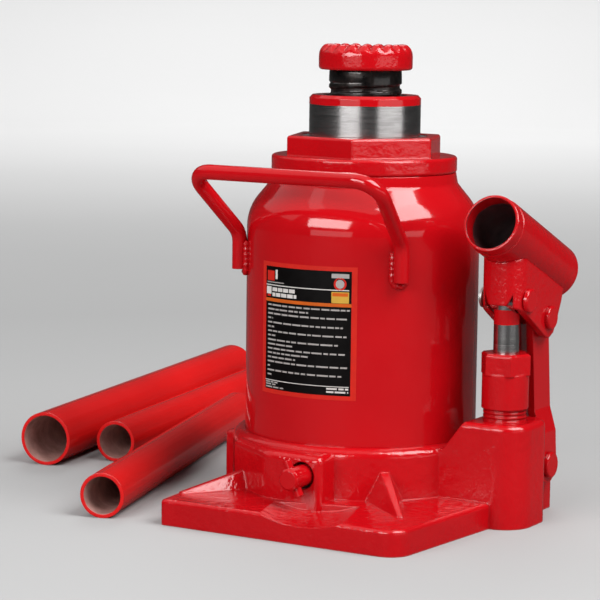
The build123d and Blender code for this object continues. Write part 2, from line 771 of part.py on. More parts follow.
def yoke_pin_rings():
    """Retaining rings of the two yoke pins."""
    left = PUMP_X - YOKE_HALF - 1.4
    front = pin_ring(EYE_PIN_RADIUS, left, PUMP_Y, EYE_Z)
    return front + pin_ring(LINK_PIN_RADIUS, left, LINK_HEAD_Y, LINK_HEAD_Z)


def along_socket(radius, start, end):
    """Cylinder on the socket's axis between two distances from its mouth."""
    mouth = Location((PUMP_X, SOCKET_MOUTH_Y, SOCKET_MOUTH_Z), (-90 - SOCKET_TILT, 0, 0))
    return mouth * Pos(0, 0, (start + end) / 2) * Cylinder(radius, end - start)


def handle_socket():
    """Tube that takes the pump handle, with a narrower rounded lip at its mouth."""
    tube = along_socket(SOCKET_RADIUS, SOCKET_LIP, SOCKET_LENGTH)
    tube = fillet(tube.edges().filter_by(GeomType.CIRCLE), 0.3)
    lip = along_socket(SOCKET_LIP_RADIUS, 0.0, SOCKET_LIP + 2)
    front_edge = lip.edges().filter_by(GeomType.CIRCLE).sort_by(Axis.Y)[0]
    lip = fillet(front_edge, 0.6)
    return tube + lip - along_socket(SOCKET_BORE, -OVER, SOCKET_LENGTH + OVER)


def yoke_side():
    """Side outline of the yoke, its top along the socket's axis and its foot round the rear pin."""
    slope = math.tan(math.radians(SOCKET_TILT))
    back = 30.0
    front_top = SOCKET_MOUTH_Z - (YOKE_FRONT - SOCKET_MOUTH_Y) * slope
    back_top = SOCKET_MOUTH_Z - (back - SOCKET_MOUTH_Y) * slope
    return Polygon(
        (YOKE_FRONT, EYE_Z - 1.5),
        (YOKE_FRONT, front_top),
        (back, back_top),
        (LINK_HEAD_Y + 11.3, LINK_HEAD_Z + 6.0),
        (LINK_HEAD_Y + 7.3, LINK_HEAD_Z - 1.5),
        (LINK_HEAD_Y + 4.0, LINK_HEAD_Z - 6.5),
        (LINK_HEAD_Y - 0.5, LINK_HEAD_Z - 8.5),
        (LINK_HEAD_Y - 4.0, LINK_HEAD_Z - 7.0),
        (PUMP_Y - 3.5, EYE_Z - 4.0),
        align=None,
    )


def socket_yoke():
    """Bent plate under the socket: a front web and two cheeks with pin holes."""
    left = PUMP_X - YOKE_HALF
    right = PUMP_X + YOKE_HALF
    body = prism_x(yoke_side(), left, right)
    corner_edges = body.edges().filter_by(Axis.Z).sort_by(Axis.Y)[:2]
    body = fillet(corner_edges, YOKE_BEND)
    inner_left = left + YOKE_WALL
    inner_right = right - YOKE_WALL
    web_back = YOKE_FRONT + WEB_THICKNESS
    hollow = block(inner_left, inner_right, web_back, SOCKET_LENGTH, LINK_FOOT_Z, SOCKET_MOUTH_Z + OVER)
    hollow_edges = hollow.edges().filter_by(Axis.Z).sort_by(Axis.Y)[:2]
    body -= fillet(hollow_edges, YOKE_INNER_BEND)
    low = EYE_Z - 2.5
    high = EYE_Z + 4.0
    web_foot = Polygon((YOKE_FRONT + 0.4, low), (web_back, high), (0, high), (0, low), align=None)
    body -= prism_x(web_foot, inner_left, inner_right)
    body -= along_socket(SOCKET_RADIUS + 0.02, -20, SOCKET_LENGTH + 20)
    body -= along_x(EYE_PIN_RADIUS, left - OVER, right + OVER, PUMP_Y, EYE_Z)
    return body - along_x(LINK_PIN_RADIUS, left - OVER, right + OVER, LINK_HEAD_Y, LINK_HEAD_Z)


def release_ball():
    """Ball that closes the return passage."""
    y = RELEASE_SEAT - check_height(PASSAGE)
    return Pos(VALVE_X, y, VALVE_Z) * Sphere(BALL_RADIUS)


def release_spindle():
    """Release spindle with a cross hole in its outer end."""
    ball_front = RELEASE_SEAT - check_height(PASSAGE) - BALL_RADIUS
    shoulder = -41.0
    nose_radius = 2.2
    end_bevel = 0.8
    body = along_y(SPINDLE_RADIUS, SPINDLE_FRONT, shoulder, VALVE_X, VALVE_Z)
    body = chamfer(body.edges().filter_by(GeomType.CIRCLE).sort_by(Axis.Y)[0], end_bevel)
    body += along_y(nose_radius, shoulder - OVER, ball_front - 0.02, VALVE_X, VALVE_Z)
    return body - cross_pin()


def release_packing():
    """Packing ring round the spindle."""
    outside = along_y(PACKING_RADIUS, PACKING_FRONT, PACKING_BACK, VALVE_X, VALVE_Z)
    hole = along_y(SPINDLE_RADIUS + FIT, PACKING_FRONT - OVER, PACKING_BACK + OVER, VALVE_X, VALVE_Z)
    return outside - hole


def cross_pin():
    """Pin across the spindle's outer end, tilted from upright."""
    tilt = 24.0
    length = 15.0
    return Pos(VALVE_X, SPINDLE_FRONT + 4.4, VALVE_Z) * Rot(0, -tilt, 0) * Cylinder(CROSS_PIN_RADIUS, length)


def handle_tube(radius, length, x, y, toe_in):
    """Loose handle tube lying on the floor, from its near end towards the back."""
    tube = Cylinder(radius, length) - Cylinder(radius - TUBE_WALL, length + 2 * OVER)
    laid = Pos(0, length / 2, radius) * Rot(90, 0, 0) * tube
    return Pos(x, y, 0) * Rot(0, 0, toe_in) * laid


def strainer():
    """Perforated cap over the suction inlet."""
    outer = 4.0
    inner = 3.2
    top = RESERVOIR_FLOOR + 2.5
    hole = 1.0
    hole_z = RESERVOIR_FLOOR + 0.3
    cap = upright(outer, RESERVOIR_FLOOR, top, INLET_X, INLET_Y)
    cap -= upright(inner, RESERVOIR_FLOOR - OVER, top - 0.8, INLET_X, INLET_Y)
    cap -= along_x(hole, INLET_X - 6, INLET_X + 6, INLET_Y, hole_z)
    return cap - along_y(hole, INLET_Y - 6, INLET_Y + 6, INLET_X, hole_z)


def suction_ball():
    """Ball under the pump chamber, on the inlet's seat."""
    seat_height = math.sqrt(BALL_RADIUS ** 2 - INLET_RADIUS ** 2) + 0.01
    return Pos(PUMP_X, PUMP_Y, INLET_SEAT + seat_height) * Sphere(BALL_RADIUS)


def body_shapes():
    """Pieces of the jack's fixed body, by name."""
    seal_foot = RESERVOIR_FLOOR - TANK_SEAL
    wiper_top = NUT_TOP - 0.4
    gasket_inner = BORE_RADIUS + 0.5
    return {
        "base_casting": base_casting(),
        "reservoir_tank": reservoir_tank(),
        "tank_seal_lower": ring(TANK_RADIUS, TANK_RADIUS - TANK_WALL + 0.1, seal_foot, RESERVOIR_FLOOR),
        "top_nut": top_nut(),
        "gland_seal": ring(SEAL_RADIUS, RAM_RADIUS + FIT, SEAL_FOOT, SEAL_TOP),
        "wiper_ring": ring(WIPER_RADIUS, RAM_RADIUS + FIT, WIPER_FOOT, wiper_top),
        "cylinder_tube": cylinder_tube(),
        "cylinder_gasket": ring(CYLINDER_OUTER, gasket_inner, CYLINDER_SEAT, CYLINDER_SEAT + GASKET),
        "carry_handle": carry_handle(),
        "label_plate": label_plate(),
        "filler_plug": filler_plug(),
    }


def ram_shapes():
    """Pieces that rise with the ram, by name."""
    ring_foot = STOP_FOOT + 0.1
    ring_top = STOP_FOOT + STOP_HEIGHT - 0.1
    return {
        "ram": ram(),
        "piston_backup_ring": ring(BORE_RADIUS - FIT, TAIL_RADIUS, CUP_TOP, PISTON_FOOT),
        "piston_cup": piston_cup(),
        "piston_nut": piston_nut(),
        "screw_stop_ring": ring(SCREW_RADIUS, STOP_ROOT + FIT, ring_foot, ring_top),
        "extension_screw": extension_screw(),
        "saddle": saddle_body(),
    }


def pump_shapes():
    """Pieces of the pump and its linkage, by name."""
    washer_inner = 6.0
    washer_foot = CHAMBER_FLOOR - 1.0
    ring_left = PUMP_X - LUG_HALF - CLEAR - LINK_THICKNESS - 1.6
    return {
        "pump_cylinder": pump_cylinder(),
        "pump_washer": ring(PUMP_THREAD_RADIUS, washer_inner, washer_foot, CHAMBER_FLOOR, PUMP_X, PUMP_Y),
        "pump_gland_seal": ring(GLAND_RADIUS, PLUNGER_RADIUS + FIT, GLAND_FOOT, GLAND_TOP, PUMP_X, PUMP_Y),
        "pump_plunger": pump_plunger(),
        "plunger_cup": plunger_cup(),
        "link_plate_inner": link_plate(-1),
        "link_plate_outer": link_plate(1),
        "link_pin": link_pin(),
        "link_pin_ring": pin_ring(BASE_PIN_RADIUS, ring_left, LINK_FOOT_Y, LINK_FOOT_Z),
        "handle_socket": handle_socket(),
        "socket_yoke": socket_yoke(),
        "yoke_pin_front": yoke_pin(EYE_PIN_RADIUS, YOKE_HEAD_RADIUS, PUMP_Y, EYE_Z),
        "yoke_pin_rear": yoke_pin(LINK_PIN_RADIUS, YOKE_HEAD_RADIUS, LINK_HEAD_Y, LINK_HEAD_Z),
        "yoke_pin_rings": yoke_pin_rings(),
    }


def valve_shapes():
    """Pieces of the four valves, by name."""
    return {
        "suction_ball": suction_ball(),
        "strainer": strainer(),
        "delivery_ball": check_ball(DELIVERY_X),
        "delivery_spring": check_spring(DELIVERY_X),
        "delivery_plug": check_plug(DELIVERY_X),
        "overload_ball": check_ball(OVERLOAD_X),
        "overload_spring": check_spring(OVERLOAD_X),
        "overload_plug": check_plug(OVERLOAD_X),
        "release_ball": release_ball(),
        "release_spindle": release_spindle(),
        "release_cross_pin": cross_pin(),
        "release_packing": release_packing(),
    }


def tube_shapes():
    """The three loose handle tubes, by name."""
    return {
        "handle_tube_large": handle_tube(LARGE_TUBE_RADIUS, LARGE_TUBE_LENGTH, *LARGE_TUBE_PLACE),
        "handle_tube_small_1": handle_tube(SMALL_TUBE_RADIUS, SMALL_TUBE_LENGTH, *SMALL_TUBE_1_PLACE),
        "handle_tube_small_2": handle_tube(SMALL_TUBE_RADIUS, SMALL_TUBE_LENGTH, *SMALL_TUBE_2_PLACE),
    }


os.makedirs("parts", exist_ok=True)
for shapes in (body_shapes(), ram_shapes(), pump_shapes(), valve_shapes(), tube_shapes()):
    for name, shape in shapes.items():
        export_step(shape, "parts/" + name + ".step")
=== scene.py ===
import json
import math
import random

import bmesh
import bpy
from mathutils import Matrix, Vector


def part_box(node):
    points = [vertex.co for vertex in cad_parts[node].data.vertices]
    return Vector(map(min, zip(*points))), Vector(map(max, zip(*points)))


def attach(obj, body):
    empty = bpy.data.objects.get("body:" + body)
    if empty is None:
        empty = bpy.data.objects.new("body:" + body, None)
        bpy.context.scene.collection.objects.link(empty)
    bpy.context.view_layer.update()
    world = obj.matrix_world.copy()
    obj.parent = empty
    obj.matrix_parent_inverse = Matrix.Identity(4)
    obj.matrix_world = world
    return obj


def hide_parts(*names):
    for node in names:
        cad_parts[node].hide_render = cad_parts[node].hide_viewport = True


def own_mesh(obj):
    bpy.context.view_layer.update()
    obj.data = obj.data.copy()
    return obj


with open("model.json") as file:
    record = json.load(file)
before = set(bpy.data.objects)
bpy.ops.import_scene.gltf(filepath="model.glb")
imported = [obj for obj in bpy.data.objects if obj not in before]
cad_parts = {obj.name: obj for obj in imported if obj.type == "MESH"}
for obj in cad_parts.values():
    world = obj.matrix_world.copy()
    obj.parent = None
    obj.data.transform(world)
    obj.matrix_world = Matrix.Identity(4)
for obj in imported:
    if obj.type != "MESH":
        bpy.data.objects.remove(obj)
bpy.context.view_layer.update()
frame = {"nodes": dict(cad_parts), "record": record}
nodes = frame["nodes"]
record = frame["record"]
MOUNTS = {mount["name"]: mount for mount in record["mounts"]}
MM = 0.001
ROUND = 2 * math.pi
UP = Vector((0, 0, 1))


# ---------------------------------------------------------------- materials

# A noise's values lie mostly between these two
NOISE_LOW, NOISE_HIGH = 0.3, 0.7


class Graph:
    """Short-hand for building one material's node tree."""

    def __init__(self, name):
        self.material = bpy.data.materials.new(name)
        self.material.use_nodes = True
        self.tree = self.material.node_tree
        self.shader = self.tree.nodes["Principled BSDF"]

    def add(self, kind, **settings):
        node = self.tree.nodes.new(kind)
        for key, value in settings.items():
            setattr(node, key, value)
        return node

    def link(self, source, target):
        self.tree.links.new(source, target)

    def feed(self, source, socket):
        """Links a value or colour to one of the shader's sockets."""
        self.link(source, self.shader.inputs[socket])

    def set(self, **values):
        """Sets uniform values on the shader's own sockets."""
        for key, value in values.items():
            self.shader.inputs[key.replace("_", " ")].default_value = value

    def noise(self, scale, detail=2.0, roughness=0.5, stretch=(1, 1, 1), turn=0.0):
        """Noise in object space, where one unit is a metre.

        Stretch draws it out along the axes, which are turned about Z by turn in degrees.
        """
        where = self.add("ShaderNodeTexCoord")
        mapping = self.add("ShaderNodeMapping", vector_type="TEXTURE")
        mapping.inputs["Rotation"].default_value = (0.0, 0.0, math.radians(turn))
        mapping.inputs["Scale"].default_value = stretch
        self.link(where.outputs["Object"], mapping.inputs["Vector"])
        texture = self.add("ShaderNodeTexNoise")
        for name, number in (("Scale", scale), ("Detail", detail), ("Roughness", roughness)):
            texture.inputs[name].default_value = number
        self.link(mapping.outputs["Vector"], texture.inputs["Vector"])
        return texture.outputs["Fac"]

    def remap(self, value, low, high, new_low, new_high):
        """Maps low to new_low and high to new_high, and holds the value there beyond them."""
        node = self.add("ShaderNodeMapRange")
        sockets = {"From Min": low, "From Max": high, "To Min": new_low, "To Max": new_high}
        for name, number in sockets.items():
            node.inputs[name].default_value = number
        self.link(value, node.inputs["Value"])
        return node.outputs["Result"]

    def ramp(self, value, *stops):
        """Colour ramp through (position, colour) stops."""
        node = self.add("ShaderNodeValToRGB")
        elements = node.color_ramp.elements
        while len(elements) < len(stops):
            elements.new(0.5)
        for element, (position, colour) in zip(elements, stops):
            element.position = position
            element.color = (*colour, 1.0)
        self.link(value, node.inputs["Fac"])
        return node.outputs["Color"]

    def roughen(self, noise, low, high):
        self.feed(self.remap(noise, NOISE_LOW, NOISE_HIGH, low, high), "Roughness")

    def bump(self, *layers, edge=None):
        """Stacks (height, distance) bump layers onto the normal, over rounded edges if asked."""
        normal = None
        if edge:
            bevel = self.add("ShaderNodeBevel", samples=6)
            bevel.inputs["Radius"].default_value = edge
            normal = bevel.outputs["Normal"]
        for height, distance in layers:
            node = self.add("ShaderNodeBump")
            node.inputs["Distance"].default_value = distance
            self.link(height, node.inputs["Height"])
            if normal is not None:
                self.link(normal, node.inputs["Normal"])
            normal = node.outputs["Normal"]
        self.feed(normal, "Normal")


def shades(colour, *shares):
    """The colour made darker or lighter by each share."""
    return [tuple(share * part for part in colour) for share in shares]


def red_paint(name, waves, peel, lumps=0.0, streaks=0.0, turn=0.0, edge=0.5 * MM,
              tone=(0.37, 0.0024, 0.0049)):
    """Thick gloss red enamel: slow waves and orange peel, with lumps on castings.

    Streaks are the fine lines along a drawn tube, which is turned about Z by turn in degrees.
    """
    g = Graph(name)
    g.set(IOR=1.48)
    darker, lighter = shades(tone, 0.91, 1.09)
    g.feed(g.ramp(g.noise(14.0, detail=3.0), (NOISE_LOW, darker), (NOISE_HIGH, lighter)), "Base Color")
    g.roughen(g.noise(110.0, detail=4.0), 0.05, 0.12)
    layers = [(g.noise(45.0, detail=1.0), waves), (g.noise(650.0, detail=1.0), peel)]
    if lumps:
        layers.append((g.noise(260.0, detail=3.0, roughness=0.6), lumps))
    if streaks:
        lines = g.noise(300.0, detail=3.0, roughness=0.6, stretch=(1, 80, 1), turn=turn)
        layers.append((lines, streaks))
    g.bump(*layers, edge=edge)
    return g.material


def polished_steel(name, shade):
    """Ground and polished bar with fine rings round its axis and faint handling marks."""
    g = Graph(name)
    g.set(Metallic=1.0)
    rings = g.noise(7.0, detail=4.0, roughness=0.65, stretch=(1, 1, 0.0033))
    marks = g.noise(85.0, detail=4.0, roughness=0.7, stretch=(1, 1, 0.17))
    dark = (0.77 * shade, 0.74 * shade, 0.73 * shade)
    bright = (shade, 0.97 * shade, 0.96 * shade)
    g.feed(g.ramp(marks, (0.30, dark), (0.55, bright)), "Base Color")
    g.roughen(rings, 0.16, 0.28)
    g.bump((rings, 0.009 * MM))
    return g.material


def black_steel():
    """Oiled black thread with bright rubbed spots."""
    g = Graph("black_steel")
    g.set(Metallic=0.85, Coat_Weight=0.5, Coat_Roughness=0.12)
    black = (0.010, 0.008, 0.008)
    worn = (0.030, 0.024, 0.022)
    rubbed = (0.16, 0.13, 0.12)
    spots = g.noise(260.0, detail=4.0, roughness=0.6)
    g.feed(g.ramp(spots, (0.35, black), (0.62, worn), (0.80, rubbed)), "Base Color")
    g.roughen(g.noise(180.0, detail=4.0), 0.22, 0.50)
    g.bump((g.noise(420.0, detail=3.0, roughness=0.6), 0.12 * MM))
    return g.material


def mottled(name, dark, light, colour_grain, rough_grain, rough, bump_grain=None, height=0.0,
            **sockets):
    """Two shades mixed by noise, with a roughness range and a fine bump from finer noises.

    Each grain is a noise's scale, detail and, if it isn't 0.5, roughness.
    """
    g = Graph(name)
    g.set(**sockets)
    g.feed(g.ramp(g.noise(*colour_grain), (NOISE_LOW, dark), (NOISE_HIGH, light)), "Base Color")
    g.roughen(g.noise(*rough_grain), *rough)
    if bump_grain:
        g.bump((g.noise(*bump_grain), height))
    return g.material


def film(name, colour):
    """One printed colour of the label, with slight mottling under a satin film."""
    darker, = shades(colour, 0.88)
    return mottled(name, darker, colour, colour_grain=(300.0, 2.0), rough_grain=(200.0, 2.0),
                   rough=(0.30, 0.42), bump_grain=(700.0, 1.0), height=0.008 * MM,
                   Specular_IOR_Level=0.12)


SMOOTH_RED = red_paint("red_paint_smooth", waves=0.16 * MM, peel=0.010 * MM)
CAST_RED = red_paint("red_paint_cast", waves=0.60 * MM, peel=0.014 * MM, lumps=0.30 * MM,
                     edge=0.9 * MM)
TUBE_TURNS = {"tube_large": 11.0, "tube_small_1": 11.0, "tube_small_2": 17.2}
# The tubes' red is brighter and more orange than the castings': the orange is their own paint, and the
# extra brightness is painted light standing in for the light that the jack's shadow keeps off them
TUBE_RED = {
    "handle_" + tube: red_paint("red_paint_" + tube, waves=0.10 * MM, peel=0.010 * MM,
                                streaks=0.264 * MM, turn=turn, tone=(0.50, 0.0080, 0.0080))
    for tube, turn in TUBE_TURNS.items()
}
STEEL = polished_steel("polished_steel", 0.62)
# A darker copy of the ram's polished steel, used for the plunger
DARKER_STEEL = polished_steel("darker_steel", 0.50)
BLACK = black_steel()
BORE = mottled("dark_bore", (0.30, 0.15, 0.13), (0.58, 0.33, 0.29), Metallic=0.2,
               colour_grain=(120.0, 4.0, 0.6), rough_grain=(150.0, 3.0), rough=(0.45, 0.70),
               bump_grain=(600.0, 3.0), height=0.06 * MM)
# Near-black painted shade for the inside of the pump socket, where little light reaches
BORE_PAINTED_SHADE = mottled("painted_shade_bore", (0.030, 0.007, 0.008), (0.085, 0.018, 0.020),
               colour_grain=(130.0, 4.0, 0.6), rough_grain=(150.0, 3.0), rough=(0.40, 0.65),
               bump_grain=(500.0, 3.0), height=0.06 * MM)
PLAIN = mottled("plain_steel", (0.32, 0.31, 0.30), (0.52, 0.51, 0.49), Metallic=1.0,
                colour_grain=(200.0, 3.0), rough_grain=(150.0, 3.0), rough=(0.30, 0.50),
                bump_grain=(500.0, 2.0), height=0.02 * MM)
RUBBER = mottled("rubber", (0.012, 0.012, 0.012), (0.03, 0.03, 0.03),
                 colour_grain=(220.0, 3.0), rough_grain=(140.0, 3.0), rough=(0.50, 0.70),
                 bump_grain=(900.0, 2.0), height=0.02 * MM)
COPPER = mottled("copper", (0.60, 0.26, 0.15), (0.75, 0.38, 0.24), Metallic=1.0,
                 colour_grain=(160.0, 3.0), rough_grain=(140.0, 3.0), rough=(0.25, 0.45))

FINISHES = {"red_paint": SMOOTH_RED, "ground_steel": STEEL, "black_steel": BLACK,
            "plain_steel": PLAIN, "seal_rubber": RUBBER, "copper": COPPER, "label_film": BLACK}
CAST_NODES = ("base_casting", "saddle", "handle_socket", "socket_yoke", "pump_cylinder", "top_nut")
OWN_FINISHES = {**TUBE_RED, **dict.fromkeys(CAST_NODES, CAST_RED), "pump_plunger": DARKER_STEEL}
# Tubes whose inner faces have a finish of their own, each with the mount on its axis
BORES = (
    # The socket's bore takes painted shade; the tubes' bores take their plain steel's brown-grey
    ("handle_socket", "handle_socket_bore", BORE_PAINTED_SHADE),
    ("handle_tube_large", "large_tube_bore", BORE),
    ("handle_tube_small_1", "small_tube_1_end", BORE),
    ("handle_tube_small_2", "small_tube_2_end", BORE),
)


def split_edges(piece, degrees):
    """Keeps edges sharper than this angle crisp under smooth shading."""
    split = piece.modifiers.new("smooth", "EDGE_SPLIT")
    split.split_angle = math.radians(degrees)


def darken_bore(node, mount, finish):
    """Gives the faces that look towards the mount's axis their own finish."""
    piece = nodes[node]
    piece.data.materials.append(finish)
    origin = Vector(mount["pos_m"])
    axis = Vector(mount["axis"]).normalized()
    on_axis = 1e-6
    inward = -0.5
    for face in piece.data.polygons:
        out = face.center - origin
        out -= out.dot(axis) * axis
        if out.length > on_axis and face.normal.dot(out.normalized()) < inward:
            face.material_index = 1


def cad_finishes():
    """Finishes of the CAD nodes, each from its own entry or from its slot in the record."""
    slots = {part["node"]: part["material_slot"] for part in record["subparts"]}
    for name, piece in nodes.items():
        piece.data.materials.clear()
        piece.data.materials.append(OWN_FINISHES.get(name, FINISHES[slots[name]]))
        piece.data.shade_smooth()
        split_edges(piece, 32)
    for node, mount, finish in BORES:
        darken_bore(node, MOUNTS[mount], finish)


# ---------------------------------------------------------------- mesh pieces

def new_piece(name, bm, body, *finishes, slot="red_paint"):
    """Turns a bmesh into a piece that rides on a body."""
    mesh = bpy.data.meshes.new(name)
    bmesh.ops.recalc_face_normals(bm, faces=bm.faces)
    bm.to_mesh(mesh)
    bm.free()
    for finish in finishes:
        mesh.materials.append(finish)
    mesh.shade_smooth()
    piece = bpy.data.objects.new(name, mesh)
    bpy.context.scene.collection.objects.link(piece)
    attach(piece, body)
    return piece


def skin(bm, row, following):
    """Faces between two closed rows with the same number of points."""
    for step in range(len(row)):
        after = (step + 1) % len(row)
        bm.faces.new((row[step], row[after], following[after], following[step]))


def lathe(bm, profile, around, warp=None, centre=(0.0, 0.0)):
    """Turns an (r, z) profile round an upright axis; warp may shift r and z by angle."""
    rows = []
    for index, (radius, height) in enumerate(profile):
        row = []
        for step in range(around):
            angle = ROUND * step / around
            r, z = warp(index, angle, radius, height) if warp else (radius, height)
            place = (centre[0] + r * math.cos(angle), centre[1] + r * math.sin(angle), z)
            row.append(bm.verts.new(place))
        rows.append(row)
    for row, following in zip(rows, rows[1:]):
        skin(bm, row, following)
    return rows


def bead(bm, rings):
    """Skins a row of rings and closes both its ends."""
    for ring, following in zip(rings, rings[1:]):
        skin(bm, ring, following)
    bm.faces.new(rings[0])
    bm.faces.new(rings[-1])


def ease(share):
    """Smooth step, held at 0 and 1 beyond its ends."""
    share = min(max(share, 0.0), 1.0)
    return share * share * (3 - 2 * share)


def extension_screw():
    """Extension screw with a rolled right-hand thread, its stop groove and its spigot."""
    low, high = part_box("extension_screw")
    ring_low, ring_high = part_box("screw_stop_ring")
    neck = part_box("saddle")[0].z
    crest = high.x
    groove = crest - 2.7 * MM
    chamfer = 1.0 * MM
    spigot = 7.95 * MM
    end_hole = 0.5 * MM
    depth = 0.8 * MM
    pitch = 4.0 * MM
    crest_end, flank_width = 0.30, 0.40
    run_out = 1.2 * MM
    thread_low = ring_high.z + 1.5 * MM
    thread_high = neck - 4.6 * MM
    rows = 190
    profile = [(groove, low.z), (crest - chamfer, low.z), (crest, low.z + chamfer),
               (crest, ring_low.z), (groove, ring_low.z), (groove, ring_high.z),
               (crest, ring_high.z)]
    first = len(profile)
    profile += [(crest, thread_low + (thread_high - thread_low) * row / rows)
                for row in range(rows + 1)]
    last = len(profile)
    profile += [(crest - 0.1 * MM, neck - 0.8 * MM), (crest - 0.3 * MM, neck), (spigot, neck),
                (spigot, high.z), (end_hole, high.z)]

    def thread(index, angle, radius, height):
        if not first <= index < last:
            return radius, height
        phase = ((height - thread_low) / pitch - angle / ROUND) % 1.0
        flank = abs(phase - 0.5) * 2
        cut = ease(1.0 - (flank - crest_end) / flank_width)
        fade = min((height - thread_low) / run_out, (thread_high - height) / run_out, 1.0)
        return radius - depth * cut * max(fade, 0.0), height

    bm = bmesh.new()
    lathe(bm, profile, 84, thread)
    piece = new_piece("threaded_screw", bm, "screw", BLACK, slot="black_steel")
    split_edges(piece, 40)
    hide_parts("extension_screw")


def quarter(centre_r, centre_z, size_r, size_z, start):
    """Points of a quarter turn about a centre in the (r, z) plane, from start in degrees."""
    steps = 10
    turns = [math.radians(start + 90 * step / steps) for step in range(steps + 1)]
    return [(centre_r + size_r * math.cos(turn), centre_z + size_z * math.sin(turn))
            for turn in turns]


def cast_saddle():
    """Cast saddle: a rounded rim with a ring of soft lobes round a shallow dish."""
    low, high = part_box("saddle")
    outer = high.x
    top = high.z
    foot_round = 1.4 * MM
    rim_height = 5.2 * MM
    rim_width = 3.6 * MM
    rim_flat = 0.6 * MM
    inner_round = 1.8 * MM
    spigot = 8.05 * MM
    dish = 11.0 * MM
    dish_floor = top - 4.3 * MM
    lobes = 20
    lobe_steps = 14
    lobe_depth = 1.5 * MM
    lobe_pinch = 0.45 * MM
    lobe_foot = top - 3.6 * MM
    lobe_rise = 2.6 * MM
    lobe_fullness = 0.75
    profile = [(spigot, low.z)]
    profile += quarter(outer - foot_round, low.z + foot_round, foot_round, foot_round, -90)
    profile += quarter(outer - rim_width, top - rim_height, rim_width, rim_height, 0)
    profile += quarter(outer - rim_width - rim_flat, top - inner_round, inner_round, inner_round, 90)
    profile += [(dish, dish_floor), (spigot, dish_floor)]
    rng = random.Random(12)
    sizes = [rng.uniform(0.75, 1.0) for _ in range(lobes)]

    def lobe(index, angle, radius, height):
        share = ease((height - lobe_foot) / lobe_rise)
        turn = angle * lobes / ROUND
        crown = abs(math.sin(math.pi * turn)) ** lobe_fullness * sizes[int(turn) % lobes]
        valley = (1 - crown) * share
        return radius - lobe_pinch * valley, height - lobe_depth * valley

    bm = bmesh.new()
    lathe(bm, profile, lobes * lobe_steps, lobe)
    piece = new_piece("cast_saddle", bm, "screw", CAST_RED)
    split_edges(piece, 50)
    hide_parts("saddle")


# Thickness of a skin of paint, and the full range of a wave's starting angle
PAINT_SKIN = 0.03 * MM
ANY_PHASE = 6.28


def paint_skin(name, body, profile, wobble, seed, centre=(0.0, 0.0)):
    """Skin of paint on a turned part, whose first row wanders like a brushed edge."""
    rng = random.Random(seed)
    waves = [(count, rng.uniform(0.4, 1.0), rng.uniform(0, ANY_PHASE)) for count in (2, 5, 9, 14)]

    def edge(index, angle, radius, height):
        if index == 0:
            height += wobble * sum(size / count ** 0.5 * math.sin(count * angle + phase)
                                   for count, size, phase in waves)
        return radius, height

    bm = bmesh.new()
    lathe(bm, profile, 120, edge, centre)
    split_edges(new_piece(name, bm, body, SMOOTH_RED), 30)


def ram_paint():
    """Red skin over the ram's top edge, above the polished band."""
    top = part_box("ram")[1].z
    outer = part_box("wiper_ring")[1].x - 2.9 * MM + PAINT_SKIN
    inner = 17.35 * MM
    bevel = 1.2 * MM
    band_top = top - 3.9 * MM
    lip = top - 0.4 * MM
    profile = [(outer, band_top), (outer, top - bevel), (outer - bevel, top + PAINT_SKIN),
               (inner, top + PAINT_SKIN), (inner - PAINT_SKIN, lip)]
    paint_skin("ram_paint", "ram", profile, wobble=0.12 * MM, seed=4)


def plunger_paint():
    """Red skin on the plunger's upper end, above the polished stroke."""
    low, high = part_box("plunger_cup")
    centre = (low + high) / 2
    radius = (high.x - low.x) / 2 + PAINT_SKIN
    eye_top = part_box("pump_plunger")[1].z
    profile = [(radius, eye_top - 15.4 * MM), (radius, eye_top - 9.4 * MM)]
    paint_skin("plunger_paint", "plunger", profile, wobble=0.10 * MM, seed=9,
               centre=(centre.x, centre.y))


def mouth_paint():
    """Overspray just inside the pump socket's mouth."""
    mount = MOUNTS["handle_socket_bore"]
    radius = mount["dims"]["r_mm"] * MM - PAINT_SKIN
    deep, near_mouth = -6.5 * MM, -0.5 * MM
    wobble = 0.5 * MM
    rng = random.Random(7)
    waves = [(count, size, rng.uniform(0, ANY_PHASE)) for count, size in ((2, 1.0), (5, 0.5), (11, 0.3))]

    def edge(index, angle, r, z):
        if index == 0:
            z += wobble * sum(size * math.sin(count * angle + phase) for count, size, phase in waves)
        return r, z

    bm = bmesh.new()
    lathe(bm, [(radius, deep), (radius, near_mouth)], 96, edge)
    turn = UP.rotation_difference(Vector(mount["axis"])).to_matrix().to_4x4()
    bm.transform(Matrix.Translation(Vector(mount["pos_m"])) @ turn)
    new_piece("mouth_paint", bm, "socket", SMOOTH_RED)


# ---------------------------------------------------------------- label

LABEL_COLOURS = {
    "black": (0.0020, 0.0014, 0.0014),
    "red": (0.46, 0.014, 0.008),
    "orange": (0.46, 0.085, 0.008),
    "white": (0.50, 0.48, 0.46),
    "grey": (0.30, 0.28, 0.27),
    "yellow": (0.45, 0.27, 0.04),
}
LABEL_INDEX = {name: place for place, name in enumerate(LABEL_COLOURS)}
# Plain blocks, as shares of the black panel: left, right, foot, head and colour
LABEL_BLOCKS = (
    (0.02, 0.13, 0.885, 0.965, "red"),
    (0.145, 0.175, 0.90, 0.975, "white"),
    (0.02, 0.26, 0.868, 0.876, "grey"),
    (0.80, 0.975, 0.945, 0.98, "grey"),
    (0.0, 0.975, 0.845, 0.853, "white"),
    (0.01, 0.085, 0.775, 0.835, "white"),
    (0.02, 0.075, 0.755, 0.772, "red"),
    (0.80, 0.975, 0.745, 0.835, "yellow"),
    (0.0, 1.0, 0.715, 0.742, "orange"),
    (0.0, 0.985, 0.070, 0.076, "white"),
)
YELLOW_BLOCK_STRIPE = (0.81, 0.965, 0.800, 0.827, "orange")
